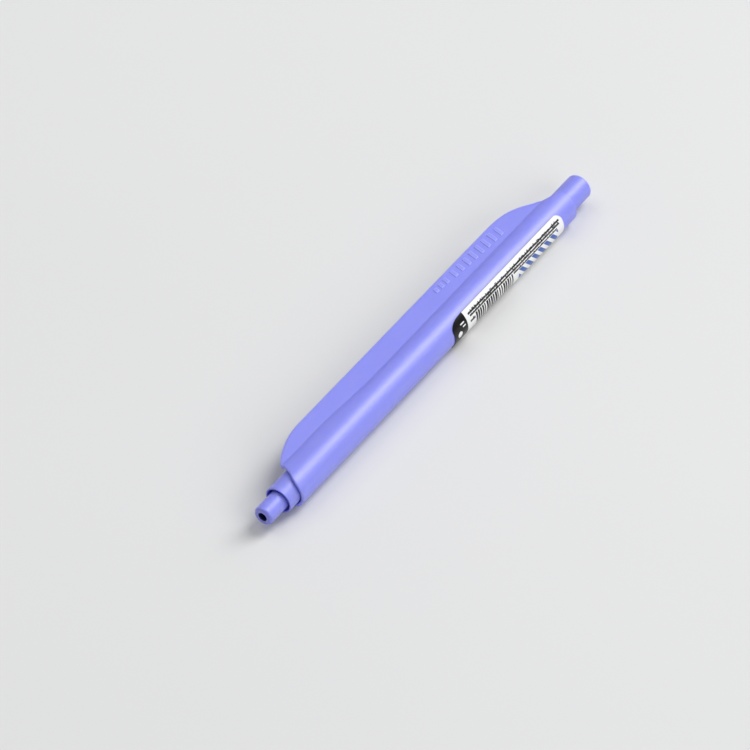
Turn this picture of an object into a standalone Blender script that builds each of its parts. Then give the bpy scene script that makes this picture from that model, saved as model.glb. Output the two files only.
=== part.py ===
"""Retractable click pen with a broad wing clip along its sleeve, lying on its side.

Metres, +Z up. The pen lies along X, writing end at -X and push button at +X, with the wing
clip reaching towards +Y. The origin is under the middle of the pen, on the table it lies on.
Inside the functions, x is measured along the pen from the face of the nose.
"""
import math

import bmesh
import bpy

MM = 0.001

# Whole pen
PEN_LENGTH = 145.2 * MM
STROKE = 5.5 * MM               # travel of the button and the refill
SEAT_GAP = 0.3 * MM             # left between pieces that rest on each other

# Sleeve: a thin tube, open along the side below the wing
SLEEVE_RADIUS = 5.0 * MM
SLEEVE_WALL = 0.85 * MM
SLEEVE_FRONT = 10.75 * MM
BUTTON_SHOWN = 9.4 * MM         # length of button behind the sleeve
LIP_ANGLE = math.radians(-40)   # lower lip of the open side, measured from +Y towards +Z
RIM_LEAN = 3.1 * MM             # how far the front rim falls back towards the wing
RIM_LEAN_POWER = 7              # draws the lean together near the wing's root

# Wing clip
WING_REACH = 9.25 * MM          # from the pen's axis to the wing's outer edge
WING_TOP = 4.0 * MM             # height of its upper face over the axis
WING_THICKNESS = 1.2 * MM
WING_CORNER = 14.1 * MM         # length of the rounded front corner
WING_CORNER_POWER = 0.68        # makes that corner fuller near the wing's root
WING_TAPER = 25.0 * MM          # length of the sweep at its rear end
WING_SWEEP_POWER = 1.8          # pushes the sweep's steep part towards the button
WING_EDGE = 0.25 * MM           # chamfer on the outer edge
WING_END_REACH = 1.2 * MM       # from the axis to the end of the sweep, up on the tube
WING_ROOT_CLEARANCE = math.radians(3)
FAIRING_REACH = 1.1 * MM        # how far the root broadens near the front
FAIRING_START = 30.0 * MM
FAIRING_END = 52.0 * MM

# Inner barrel and nose
BARREL_FIT = 0.3 * MM           # gap between the barrel and the sleeve's bore
BARREL_WALL = 0.45 * MM
BARREL_FRONT = 6.8 * MM
BARREL_EDGE = 0.1 * MM          # chamfer on the collar's front edge
NOSE_RADIUS = 2.7 * MM
NOSE_HOLE_RADIUS = 1.2 * MM
NOSE_EDGE = 0.7 * MM            # rounding of the writing end
NOSE_COLLAR_FRONT = 10.2 * MM
NOSE_SEAT = 6.4 * MM            # face that the spring rests on
SPRING_BORE_RADIUS = 2.25 * MM
NESTING_GAP = 0.2 * MM          # round pieces held inside one another

# Button
BUTTON_FIT = 0.45 * MM          # gap between the button and the sleeve's bore
BUTTON_WALL = 0.6 * MM
BUTTON_CROWN = 1.2 * MM         # thickness of its closed end
BUTTON_EDGE = 1.0 * MM
BUTTON_SKIRT = 6.4 * MM         # length of button inside the sleeve

# Click mechanism
GUIDE_LENGTH = 12.1 * MM
GUIDE_INSET = 2.0 * MM          # from the barrel's rear end
GUIDE_WALL = 0.3 * MM
GUIDE_RIB_HEIGHT = 0.45 * MM
GUIDE_LIP = 1.4 * MM            # length of the ring that keeps the button in
RIBS = 8                        # grooves round the guide, and teeth on each crown
CAM_FIT = 0.3 * MM              # gap between the cams' bodies and the guide's ribs
CAM_RIB_FIT = 0.25 * MM         # gap between the cams' ribs and the guide's grooves
CAM_BORE_RADIUS = 1.3 * MM
TOOTH_HEIGHT = 1.0 * MM
ROTOR_RIB_LENGTH = 5.0 * MM
ROTOR_STEM_RADIUS = 1.6 * MM
ROTOR_STEM_LENGTH = 4.5 * MM
ROTOR_NECK = 0.6 * MM           # from the rotor's ribs to the roots of its teeth
LUG_LENGTH = 1.8 * MM           # lugs that keep the button in
KNOCK_NECK = 1.5 * MM           # from the lugs to the roots of the knock cam's teeth
CROWN_STEP = 0.05 * MM          # the crowns are this much slimmer than the cam's body
LIP_STEP = 0.1 * MM             # the guide's ring reaches this much further in than its ribs

# Refill
TIP_RECESS = 2.7 * MM           # from the nose's face to the ball, drawn in
BALL_RADIUS = 0.35 * MM
BALL_GAP = 0.05 * MM
BALL_SHOWN = 0.12 * MM
POINT_RIM = 0.08 * MM           # width of the point's rim round the ball
INK_CHANNEL_RADIUS = 0.2 * MM
POINT_RADIUS = 1.0 * MM
POINT_CONE = 3.5 * MM
SHANK_RADIUS = 0.8 * MM
SHANK_LENGTH = 3.0 * MM
CONNECTOR_RADIUS = 1.4 * MM
CONNECTOR_STEM = 11.8 * MM
FLANGE_LENGTH = 2.0 * MM
REFILL_FIT = 0.6 * MM           # gap between the refill and the barrel
REFILL_WALL = 0.4 * MM
PLUG_DEPTH = 5.0 * MM
INK_BORE_RADIUS = 0.5 * MM
INK_LENGTH = 55.0 * MM
FOLLOWER_LENGTH = 5.0 * MM
END_PLUG_HEAD = 1.0 * MM
END_PLUG_DEPTH = 3.5 * MM
AIR_HOLE_RADIUS = 0.4 * MM

# Return spring
SPRING_WIRE_RADIUS = 0.18 * MM
SPRING_RADIUS = 1.85 * MM       # to the middle of the wire
SPRING_TURNS = 9

# Label wrapped round the side away from the wing
LABEL_FRONT = 78.3 * MM
LABEL_LENGTH = 51.0 * MM
LABEL_TOP_ANGLE = math.radians(121.5)
LABEL_BOTTOM_ANGLE = math.radians(250)
LABEL_CORNER = 2.6 * MM         # rounding of its corners, measured round the sleeve
LABEL_FRONT_DRAW = 2.1          # how many times longer the front corners are than that
LABEL_CORNER_STEPS = 5
LABEL_MIDDLE_STEPS = 10
LABEL_GAP = 0.05 * MM
LABEL_THICKNESS = 0.12 * MM

# How finely the round shapes are cut
ROUND_STEPS = 40
INNER_STEPS = 24
SOCKET_STEPS = 8
EDGE_STEPS = 5
SLEEVE_STATIONS = 16

# Places that follow from the sizes above
SLEEVE_REAR = PEN_LENGTH - BUTTON_SHOWN
SLEEVE_BORE_RADIUS = SLEEVE_RADIUS - SLEEVE_WALL
CREASE_ANGLE = math.asin(WING_TOP / SLEEVE_RADIUS)
CREASE_REACH = SLEEVE_RADIUS * math.cos(CREASE_ANGLE)
WING_UNDER = WING_TOP - WING_THICKNESS
BUTTON_FRONT = SLEEVE_REAR - BUTTON_SKIRT
BARREL_REAR = BUTTON_FRONT - STROKE - 2 * SEAT_GAP
BARREL_RADIUS = SLEEVE_BORE_RADIUS - BARREL_FIT
BARREL_BORE_RADIUS = BARREL_RADIUS - BARREL_WALL
BUTTON_RADIUS = SLEEVE_BORE_RADIUS - BUTTON_FIT
GUIDE_RADIUS = BARREL_BORE_RADIUS - NESTING_GAP
GUIDE_BORE_RADIUS = GUIDE_RADIUS - GUIDE_WALL
GUIDE_REAR = BARREL_REAR - GUIDE_INSET
GUIDE_FRONT = GUIDE_REAR - GUIDE_LENGTH
GUIDE_RIB_RADIUS = GUIDE_BORE_RADIUS - GUIDE_RIB_HEIGHT
CAM_RADIUS = GUIDE_RIB_RADIUS - CAM_FIT
CAM_RIB_RADIUS = GUIDE_BORE_RADIUS - CAM_RIB_FIT
LUG_REAR = GUIDE_REAR - GUIDE_LIP - SEAT_GAP
LUG_FRONT = LUG_REAR - LUG_LENGTH
KNOCK_CROWN = LUG_FRONT - KNOCK_NECK
ROTOR_CROWN = KNOCK_CROWN - SEAT_GAP
ROTOR_RIB_REAR = ROTOR_CROWN - TOOTH_HEIGHT - ROTOR_NECK
ROTOR_RIB_FRONT = ROTOR_RIB_REAR - ROTOR_RIB_LENGTH
ROTOR_FRONT = ROTOR_RIB_FRONT - ROTOR_STEM_LENGTH
POINT_FRONT = TIP_RECESS + BALL_SHOWN
CONNECTOR_FRONT = NOSE_SEAT + STROKE + 2 * SEAT_GAP
POINT_SHOULDER = CONNECTOR_FRONT - SEAT_GAP
FLANGE_FRONT = CONNECTOR_FRONT + CONNECTOR_STEM
NOSE_LENGTH = FLANGE_FRONT - STROKE - 2 * SEAT_GAP
FLANGE_REAR = FLANGE_FRONT + FLANGE_LENGTH
REFILL_FRONT = FLANGE_REAR + SEAT_GAP
REFILL_RADIUS = BARREL_BORE_RADIUS - REFILL_FIT
REFILL_BORE_RADIUS = REFILL_RADIUS - REFILL_WALL
REFILL_PLUG_REAR = ROTOR_FRONT - SEAT_GAP
REFILL_REAR = REFILL_PLUG_REAR - END_PLUG_HEAD - SEAT_GAP
FILLING_RADIUS = REFILL_BORE_RADIUS - NESTING_GAP
INK_FRONT = FLANGE_REAR + PLUG_DEPTH + SEAT_GAP
FOLLOWER_FRONT = INK_FRONT + INK_LENGTH + SEAT_GAP
LABEL_RADIUS = SLEEVE_RADIUS + LABEL_GAP
LABEL_OUTER_RADIUS = LABEL_RADIUS + LABEL_THICKNESS
AXIS_Y = (LABEL_OUTER_RADIUS - WING_REACH) / 2
AXIS_HEIGHT = SLEEVE_RADIUS


def clear_scene():
    """Take away whatever the new file holds."""
    for old in list(bpy.data.objects):
        bpy.data.objects.remove(old, do_unlink=True)


def plain_material(name, colour, roughness, metallic=0.0):
    """A Principled material of one colour."""
    material = bpy.data.materials.new(name)
    material.use_nodes = True
    shader = material.node_tree.nodes["Principled BSDF"]
    shader.inputs["Base Color"].default_value = (*colour, 1.0)
    shader.inputs["Roughness"].default_value = roughness
    shader.inputs["Metallic"].default_value = metallic
    return material


def lavender_plastic():
    """The coloured plastic that all the outer pieces are moulded in."""
    return plain_material("lavender_plastic", (0.25, 0.26, 0.78), 0.38)


def natural_plastic():
    """Uncoloured acetal, for the click mechanism and the refill's end pieces."""
    return plain_material("natural_plastic", (0.82, 0.82, 0.78), 0.45)


def clear_tube_plastic():
    """Polypropylene of the ink tube."""
    return plain_material("tube_plastic", (0.75, 0.78, 0.80), 0.25)


def spring_steel():
    """Bright wire."""
    return plain_material("spring_steel", (0.62, 0.62, 0.63), 0.25, 1.0)


def nickel_silver():
    """The turned writing point."""
    return plain_material("nickel_silver", (0.70, 0.66, 0.58), 0.22, 1.0)


def carbide():
    """The writing ball."""
    return plain_material("carbide", (0.30, 0.30, 0.32), 0.20, 1.0)


def violet_ink():
    """Ink of the pen's own colour."""
    return plain_material("violet_ink", (0.05, 0.03, 0.35), 0.15)


def clear_grease():
    """The follower behind the ink."""
    return plain_material("clear_grease", (0.80, 0.78, 0.60), 0.15)


def printed_label():
    """White printed film."""
    return plain_material("printed_label", (0.88, 0.88, 0.86), 0.35)


def finish_object(name, mesh_data, material, axis, sharp=35):
    """Make a mesh into a closed, smooth-shaded piece on the pen's axis."""
    bmesh.ops.recalc_face_normals(mesh_data, faces=mesh_data.faces)
    mesh = bpy.data.meshes.new(name)
    mesh_data.to_mesh(mesh)
    mesh_data.free()
    mesh.shade_smooth()
    mesh.set_sharp_from_angle(angle=math.radians(sharp))
    mesh.materials.append(material)
    piece = bpy.data.objects.new(name, mesh)
    bpy.context.scene.collection.objects.link(piece)
    piece.parent = axis
    return piece


def value_at(size, angle):
    """A profile's size, which may change with the angle round the axis."""
    return size(angle) if callable(size) else size


def turned(name, profile, material, axis, angles=None):
    """Turn a closed (x, radius) profile about the pen's axis; radius 0 is a point on the axis."""
    if angles is None:
        angles = even_angles(INNER_STEPS)
    bm = bmesh.new()
    rings = []
    for x, radius in profile:
        if radius == 0:
            rings.append([bm.verts.new((x, 0, 0))] * len(angles))
            continue
        ring = []
        for angle in angles:
            r = value_at(radius, angle)
            ring.append(bm.verts.new((value_at(x, angle), r * math.cos(angle), r * math.sin(angle))))
        rings.append(ring)
    for index, ring in enumerate(rings):
        after = rings[(index + 1) % len(rings)]
        if ring[0] is ring[1] and after[0] is after[1]:
            continue
        for step in range(len(angles)):
            beside = (step + 1) % len(angles)
            corners = [ring[step], ring[beside], after[beside], after[step]]
            bm.faces.new(list(dict.fromkeys(corners)))
    return finish_object(name, bm, material, axis)


def even_angles(steps):
    """Directions round the axis, evenly spaced."""
    return [math.tau * step / steps for step in range(steps)]


def quarter_round(end, radius, size, inwards):
    """Profile points of a rounded outer edge, from the side to the end face."""
    points = []
    for step in range(EDGE_STEPS + 1):
        turn = math.pi / 2 * step / EDGE_STEPS
        depth = size * (1 - math.sin(turn))
        points.append((end + inwards * depth, radius - size * (1 - math.cos(turn))))
    return points


def strip_shell(name, columns, stations, material, axis):
    """A wall made of columns side by side.

    Each column is (x_front, x_rear, outer, inner), where outer and inner give the column's
    (y, z) on the wall's two faces at any x.
    """
    bm = bmesh.new()
    grid = []
    for x_front, x_rear, outer, inner in columns:
        pairs = []
        for share in stations:
            x = x_front + (x_rear - x_front) * share
            pairs.append((bm.verts.new((x, *outer(x))), bm.verts.new((x, *inner(x)))))
        grid.append(pairs)
    last = len(stations) - 1
    for left, right in zip(grid, grid[1:]):
        for row in range(last):
            bm.faces.new((left[row][0], right[row][0], right[row + 1][0], left[row + 1][0]))
            bm.faces.new((left[row][1], left[row + 1][1], right[row + 1][1], right[row][1]))
        bm.faces.new((left[0][0], left[0][1], right[0][1], right[0][0]))
        bm.faces.new((left[last][0], right[last][0], right[last][1], left[last][1]))
    for side in (grid[0], grid[-1]):
        for row in range(last):
            bm.faces.new((side[row][0], side[row + 1][0], side[row + 1][1], side[row][1]))
    return finish_object(name, bm, material, axis)


def smooth_step(value):
    """0 below 0, 1 above 1, and smooth between."""
    value = min(max(value, 0.0), 1.0)
    return value * value * (3 - 2 * value)


def wing_rear(reach):
    """Where the wing's rear sweep passes a given distance from the axis."""
    drop = (WING_REACH - reach) / (WING_REACH - WING_END_REACH)
    turn = math.acos(1 - 2 * min(max(drop, 0.0), 1.0)) / math.pi
    return SLEEVE_REAR - WING_TAPER * (1 - turn ** (1 / WING_SWEEP_POWER))


def fairing(x):
    """How much further out the wing's root lies, broad near the front."""
    return FAIRING_REACH * smooth_step((FAIRING_END - x) / (FAIRING_END - FAIRING_START))


def front_rim(angle):
    """The sleeve's front rim falls back from the bottom towards the wing."""
    towards_wing = (1 + math.cos(angle - CREASE_ANGLE)) / 2
    return SLEEVE_FRONT + RIM_LEAN * towards_wing ** RIM_LEAN_POWER


def wing_share(angle):
    """0 round most of the wall, growing from the top of the pen to 1 at the wing's root."""
    from_top = math.pi / 2 - angle % math.tau
    if from_top < 0:
        return 0.0
    return from_top / (math.pi / 2 - CREASE_ANGLE)


def tube_column(angle):
    """One column of the sleeve's round wall; angle is below zero, down from +Y."""
    share = wing_share(angle)
    swell = smooth_step(share)
    reach = SLEEVE_RADIUS * math.cos(angle)
    height = SLEEVE_RADIUS * math.sin(angle)
    inner_angle = angle
    rear = SLEEVE_REAR
    if share > 0:
        under_root = math.asin(WING_UNDER / SLEEVE_BORE_RADIUS) + WING_ROOT_CLEARANCE
        inner_angle = math.pi / 2 - share * (math.pi / 2 - under_root)
        if reach > WING_END_REACH:
            rear = wing_rear(reach)
    inner_place = SLEEVE_BORE_RADIUS * math.cos(inner_angle), SLEEVE_BORE_RADIUS * math.sin(inner_angle)

    def outer(x):
        return reach + swell * fairing(x), height

    def inner(x):
        return inner_place

    return front_rim(angle), rear, outer, inner


def wing_column(turn, is_edge):
    """One column of the wing; turn runs round its front corner, from root to outer edge."""
    span = WING_REACH - CREASE_REACH
    reach = CREASE_REACH + span * math.sin(turn)
    front = front_rim(CREASE_ANGLE) + WING_CORNER * (1 - math.cos(turn)) ** WING_CORNER_POWER
    chamfer = WING_EDGE if is_edge else 0.0

    def shifted(x):
        return reach + fairing(x) * (WING_REACH - reach) / span

    def outer(x):
        return shifted(x), WING_TOP - chamfer

    def inner(x):
        return shifted(x), WING_UNDER + chamfer

    return front, wing_rear(reach), outer, inner


def wall_angles():
    """Directions of the round wall's columns, from the lip under the pen and up to the wing."""
    bottom = -math.pi / 2
    top = bottom - math.pi
    crease = CREASE_ANGLE - math.tau
    angles = [LIP_ANGLE]
    for start, end, steps in ((LIP_ANGLE, bottom, 6), (bottom, top, 20), (top, crease, 4)):
        angles += [start + (end - start) * (step + 1) / steps for step in range(steps)]
    return angles


def outer_sleeve(material, axis):
    """Thin sleeve with the wing clip moulded on, open along the side below the wing."""
    wing_steps = 9
    columns = [tube_column(angle) for angle in wall_angles()]
    for step in range(1, wing_steps + 1):
        columns.append(wing_column(math.pi / 2 * step / wing_steps, step == wing_steps))
    turns = [math.pi * step / SLEEVE_STATIONS for step in range(SLEEVE_STATIONS + 1)]
    stations = [(1 - math.cos(turn)) / 2 for turn in turns]
    return strip_shell("outer_sleeve", columns, stations, material, axis)


def label(material, axis):
    """Printed film stuck round the sleeve's side, with rounded corners."""
    arc = (LABEL_BOTTOM_ANGLE - LABEL_TOP_ANGLE) * LABEL_RADIUS
    places = [
        LABEL_CORNER * (1 - math.cos(math.pi / 2 * step / LABEL_CORNER_STEPS))
        for step in range(LABEL_CORNER_STEPS + 1)
    ]
    middle = arc - 2 * LABEL_CORNER
    places += [LABEL_CORNER + middle * step / LABEL_MIDDLE_STEPS for step in range(1, LABEL_MIDDLE_STEPS)]
    places += [arc - place for place in reversed(places[: LABEL_CORNER_STEPS + 1])]
    columns = []
    for place in places:
        angle = LABEL_TOP_ANGLE + place / LABEL_RADIUS
        near_edge = max(LABEL_CORNER - min(place, arc - place), 0.0)
        trim = LABEL_CORNER - math.sqrt(max(LABEL_CORNER ** 2 - near_edge ** 2, 0.0))
        directed = math.cos(angle), math.sin(angle)
        columns.append((
            LABEL_FRONT + LABEL_FRONT_DRAW * trim,
            LABEL_FRONT + LABEL_LENGTH - trim,
            lambda x, d=directed: (LABEL_OUTER_RADIUS * d[0], LABEL_OUTER_RADIUS * d[1]),
            lambda x, d=directed: (LABEL_RADIUS * d[0], LABEL_RADIUS * d[1]),
        ))
    return strip_shell("label", columns, [0, 0.5, 1], material, axis)


def inner_barrel(material, axis):
    """Straight tube inside the sleeve, showing at the front as a collar."""
    profile = [
        (BARREL_FRONT, BARREL_BORE_RADIUS),
        (BARREL_FRONT, BARREL_RADIUS - BARREL_EDGE),
        (BARREL_FRONT + BARREL_EDGE, BARREL_RADIUS),
        (BARREL_REAR, BARREL_RADIUS),
        (BARREL_REAR, BARREL_BORE_RADIUS),
    ]
    return turned("inner_barrel", profile, material, axis, even_angles(ROUND_STEPS))


def nose_tip(material, axis):
    """Nose piece: a slim nozzle in front and a collar held in the barrel."""
    collar_radius = BARREL_BORE_RADIUS - NESTING_GAP
    profile = [(0.0, NOSE_HOLE_RADIUS)]
    profile += quarter_round(0.0, NOSE_RADIUS, NOSE_EDGE, 1)[::-1]
    profile += [
        (NOSE_COLLAR_FRONT, NOSE_RADIUS),
        (NOSE_COLLAR_FRONT, collar_radius),
        (NOSE_LENGTH, collar_radius),
        (NOSE_LENGTH, SPRING_BORE_RADIUS),
        (NOSE_SEAT, SPRING_BORE_RADIUS),
        (NOSE_SEAT, NOSE_HOLE_RADIUS),
    ]
    return turned("nose_tip", profile, material, axis, even_angles(ROUND_STEPS))


def push_button(material, axis):
    """Hollow button with a closed, rounded end."""
    bore_radius = BUTTON_RADIUS - BUTTON_WALL
    profile = [(BUTTON_FRONT, bore_radius), (BUTTON_FRONT, BUTTON_RADIUS)]
    profile += quarter_round(PEN_LENGTH, BUTTON_RADIUS, BUTTON_EDGE, -1)
    profile += [
        (PEN_LENGTH, 0),
        (PEN_LENGTH - BUTTON_CROWN, 0),
        (PEN_LENGTH - BUTTON_CROWN, bore_radius),
    ]
    return turned("push_button", profile, material, axis, even_angles(ROUND_STEPS))


def rib_angles(count):
    """Directions that mark out the ribs and grooves of the click mechanism."""
    pitch = math.tau / count
    shares = (-0.19, 0.0, 0.19, 0.25, 0.5, 0.75)
    return [pitch * (rib + share) for rib in range(count) for share in shares]


def on_rib(angle, count, half_width):
    """Whether a direction lies on one of the ribs."""
    pitch = math.tau / count
    off = (angle + pitch / 2) % pitch - pitch / 2
    return abs(off) < half_width


def crown(angle):
    """Height of the pointed teeth at a direction, from 0 in a valley to 1 on a tip."""
    pitch = math.tau / RIBS
    off = (angle + pitch / 2) % pitch - pitch / 2
    return 1 - abs(off) / (pitch / 2)


def cam_guide(material, axis):
    """Sleeve whose ribs steer the rotor, with a ring that keeps the button in."""
    rib_half = 0.2 * math.tau / RIBS

    def bore(angle):
        return GUIDE_RIB_RADIUS if on_rib(angle, RIBS, rib_half) else GUIDE_BORE_RADIUS

    lip_front = GUIDE_REAR - GUIDE_LIP
    lip_radius = GUIDE_RIB_RADIUS - LIP_STEP
    profile = [
        (GUIDE_FRONT, bore),
        (GUIDE_FRONT, GUIDE_RADIUS),
        (GUIDE_REAR, GUIDE_RADIUS),
        (GUIDE_REAR, lip_radius),
        (lip_front, lip_radius),
        (lip_front, bore),
    ]
    return turned("cam_guide", profile, material, axis, rib_angles(RIBS))


def rib_radius(angle):
    """Outline of the rotor and of the button's lugs: four ribs that run in the guide's grooves."""
    pitch = math.tau / RIBS
    in_groove = on_rib(angle - pitch / 2, RIBS // 2, 0.17 * pitch)
    return CAM_RIB_RADIUS if in_groove else CAM_RADIUS


def rotor_angles():
    """Directions for the rotor and the knock cam, with the ribs' edges between the guide's."""
    pitch = math.tau / RIBS
    angles = []
    for tooth in range(RIBS):
        angles += [pitch * (tooth + share) for share in (0.0, 0.2, 0.32, 0.38, 0.5, 0.62, 0.68, 0.8)]
    return angles


def rotor_cam(material, axis):
    """Turning cam between the knock cam and the refill."""
    crown_radius = CAM_RADIUS - CROWN_STEP

    def teeth(angle):
        return ROTOR_CROWN - TOOTH_HEIGHT * crown(angle)

    profile = [
        (ROTOR_FRONT, 0),
        (ROTOR_FRONT, ROTOR_STEM_RADIUS),
        (ROTOR_RIB_FRONT, ROTOR_STEM_RADIUS),
        (ROTOR_RIB_FRONT, rib_radius),
        (ROTOR_RIB_REAR, rib_radius),
        (ROTOR_RIB_REAR, crown_radius),
        (teeth, crown_radius),
        (teeth, CAM_BORE_RADIUS),
        (ROTOR_RIB_REAR, CAM_BORE_RADIUS),
        (ROTOR_RIB_REAR, 0),
    ]
    return turned("rotor_cam", profile, material, axis, rotor_angles())


def knock_cam(material, axis):
    """Crowned plunger fixed in the button, which pushes the rotor round."""
    body_radius = CAM_RADIUS - CROWN_STEP
    head_radius = BUTTON_RADIUS - BUTTON_WALL - NESTING_GAP
    head_rear = PEN_LENGTH - BUTTON_CROWN - SEAT_GAP

    def teeth(angle):
        return KNOCK_CROWN - TOOTH_HEIGHT * crown(angle)

    profile = [
        (teeth, CAM_BORE_RADIUS),
        (teeth, body_radius),
        (LUG_FRONT, body_radius),
        (LUG_FRONT, rib_radius),
        (LUG_REAR, rib_radius),
        (LUG_REAR, body_radius),
        (BUTTON_FRONT + SEAT_GAP, body_radius),
        (BUTTON_FRONT + SEAT_GAP, head_radius),
        (head_rear, head_radius),
        (head_rear, CAM_BORE_RADIUS),
    ]
    return turned("knock_cam", profile, material, axis, rotor_angles())


def writing_ball(material, axis):
    """Ball held in the point's socket; its origin is its own centre."""
    bm = bmesh.new()
    bmesh.ops.create_uvsphere(bm, u_segments=16, v_segments=10, radius=BALL_RADIUS)
    ball = finish_object("writing_ball", bm, material, axis, 180)
    ball.location.x = TIP_RECESS + BALL_RADIUS
    return ball


def metal_point(material, axis):
    """Turned point with a socket for the ball and an ink channel behind it."""
    ball_x = TIP_RECESS + BALL_RADIUS
    socket_radius = BALL_RADIUS + BALL_GAP
    mouth_radius = math.sqrt(socket_radius ** 2 - (ball_x - POINT_FRONT) ** 2)
    shank_rear = POINT_SHOULDER + SHANK_LENGTH
    start = math.acos((ball_x - POINT_FRONT) / socket_radius)
    finish = math.pi - math.asin(INK_CHANNEL_RADIUS / socket_radius)
    socket = []
    for step in range(SOCKET_STEPS + 1):
        turn = start + (finish - start) * step / SOCKET_STEPS
        socket.append((ball_x - socket_radius * math.cos(turn), socket_radius * math.sin(turn)))
    profile = [
        (POINT_FRONT, mouth_radius + POINT_RIM),
        (POINT_FRONT + POINT_CONE, POINT_RADIUS),
        (POINT_SHOULDER, POINT_RADIUS),
        (POINT_SHOULDER, SHANK_RADIUS),
        (shank_rear, SHANK_RADIUS),
        (shank_rear, INK_CHANNEL_RADIUS),
    ]
    return turned("metal_point", profile + socket[::-1], material, axis)


def tip_connector(material, axis):
    """Plastic piece that joins the metal point to the ink tube and takes the spring's push."""
    socket_radius = SHANK_RADIUS + NESTING_GAP
    socket_rear = CONNECTOR_FRONT + SHANK_LENGTH
    profile = [
        (CONNECTOR_FRONT, socket_radius),
        (CONNECTOR_FRONT, CONNECTOR_RADIUS),
        (FLANGE_FRONT, CONNECTOR_RADIUS),
        (FLANGE_FRONT, REFILL_RADIUS),
        (FLANGE_REAR, REFILL_RADIUS),
        (FLANGE_REAR, FILLING_RADIUS),
        (FLANGE_REAR + PLUG_DEPTH, FILLING_RADIUS),
        (FLANGE_REAR + PLUG_DEPTH, INK_BORE_RADIUS),
        (socket_rear, INK_BORE_RADIUS),
        (socket_rear, socket_radius),
    ]
    return turned("tip_connector", profile, material, axis)


def refill_tube(material, axis):
    """The tube that holds the ink."""
    profile = [
        (REFILL_FRONT, REFILL_BORE_RADIUS),
        (REFILL_FRONT, REFILL_RADIUS),
        (REFILL_REAR, REFILL_RADIUS),
        (REFILL_REAR, REFILL_BORE_RADIUS),
    ]
    return turned("refill_tube", profile, material, axis)


def filling(name, front, length, material, axis):
    """A plain round slug inside the ink tube."""
    profile = [(front, 0), (front, FILLING_RADIUS), (front + length, FILLING_RADIUS), (front + length, 0)]
    return turned(name, profile, material, axis)


def refill_plug(material, axis):
    """Stopper with an air hole at the ink tube's rear end."""
    head_front = REFILL_PLUG_REAR - END_PLUG_HEAD
    profile = [
        (REFILL_REAR - END_PLUG_DEPTH, AIR_HOLE_RADIUS),
        (REFILL_REAR - END_PLUG_DEPTH, FILLING_RADIUS),
        (head_front, FILLING_RADIUS),
        (head_front, REFILL_RADIUS),
        (REFILL_PLUG_REAR, REFILL_RADIUS),
        (REFILL_PLUG_REAR, AIR_HOLE_RADIUS),
    ]
    return turned("refill_plug", profile, material, axis)


def return_spring(material, axis):
    """Wire coil between the nose's seat and the connector's flange, with closed end turns."""
    front = NOSE_SEAT + SEAT_GAP + SPRING_WIRE_RADIUS
    rear = FLANGE_FRONT - SEAT_GAP - SPRING_WIRE_RADIUS
    steps_a_turn = 14
    wire_sides = 6
    steps = SPRING_TURNS * steps_a_turn
    end_pitch = 2.6 * SPRING_WIRE_RADIUS
    bm = bmesh.new()
    rings = []
    for step in range(steps + 1):
        turns = step / steps_a_turn
        along = spring_share(turns, end_pitch, rear - front)
        angle = math.tau * turns
        ring = []
        for side in range(wire_sides):
            around = math.tau * side / wire_sides
            radius = SPRING_RADIUS + SPRING_WIRE_RADIUS * math.cos(around)
            x = front + along + SPRING_WIRE_RADIUS * math.sin(around)
            ring.append(bm.verts.new((x, radius * math.cos(angle), radius * math.sin(angle))))
        rings.append(ring)
    for before, after in zip(rings, rings[1:]):
        for side in range(wire_sides):
            beside = (side + 1) % wire_sides
            bm.faces.new((before[side], before[beside], after[beside], after[side]))
    bm.faces.new(rings[0])
    bm.faces.new(rings[-1])
    return finish_object("return_spring", bm, material, axis)


def spring_share(turns, end_pitch, length):
    """Distance along the spring after so many turns: close at both ends, open between."""
    open_turns = SPRING_TURNS - 2
    open_pitch = (length - 2 * end_pitch) / open_turns
    if turns <= 1:
        return turns * end_pitch
    if turns >= SPRING_TURNS - 1:
        return length - (SPRING_TURNS - turns) * end_pitch
    return end_pitch + (turns - 1) * open_pitch


def build_pen():
    """Make every piece on one axis."""
    axis = bpy.data.objects.new("pen_axis", None)
    axis.location = (-PEN_LENGTH / 2, AXIS_Y, AXIS_HEIGHT)
    bpy.context.scene.collection.objects.link(axis)
    lavender = lavender_plastic()
    natural = natural_plastic()
    outer_sleeve(lavender, axis)
    inner_barrel(lavender, axis)
    nose_tip(lavender, axis)
    push_button(lavender, axis)
    label(printed_label(), axis)
    cam_guide(natural, axis)
    knock_cam(natural, axis)
    rotor_cam(natural, axis)
    refill_plug(natural, axis)
    tip_connector(natural, axis)
    refill_tube(clear_tube_plastic(), axis)
    filling("ink_column", INK_FRONT, INK_LENGTH, violet_ink(), axis)
    filling("ink_follower", FOLLOWER_FRONT, FOLLOWER_LENGTH, clear_grease(), axis)
    metal_point(nickel_silver(), axis)
    writing_ball(carbide(), axis)
    return_spring(spring_steel(), axis)


clear_scene()
build_pen()
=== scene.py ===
import math

import bmesh
import bpy
from mathutils import Euler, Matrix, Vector
from mathutils.kdtree import KDTree


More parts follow.
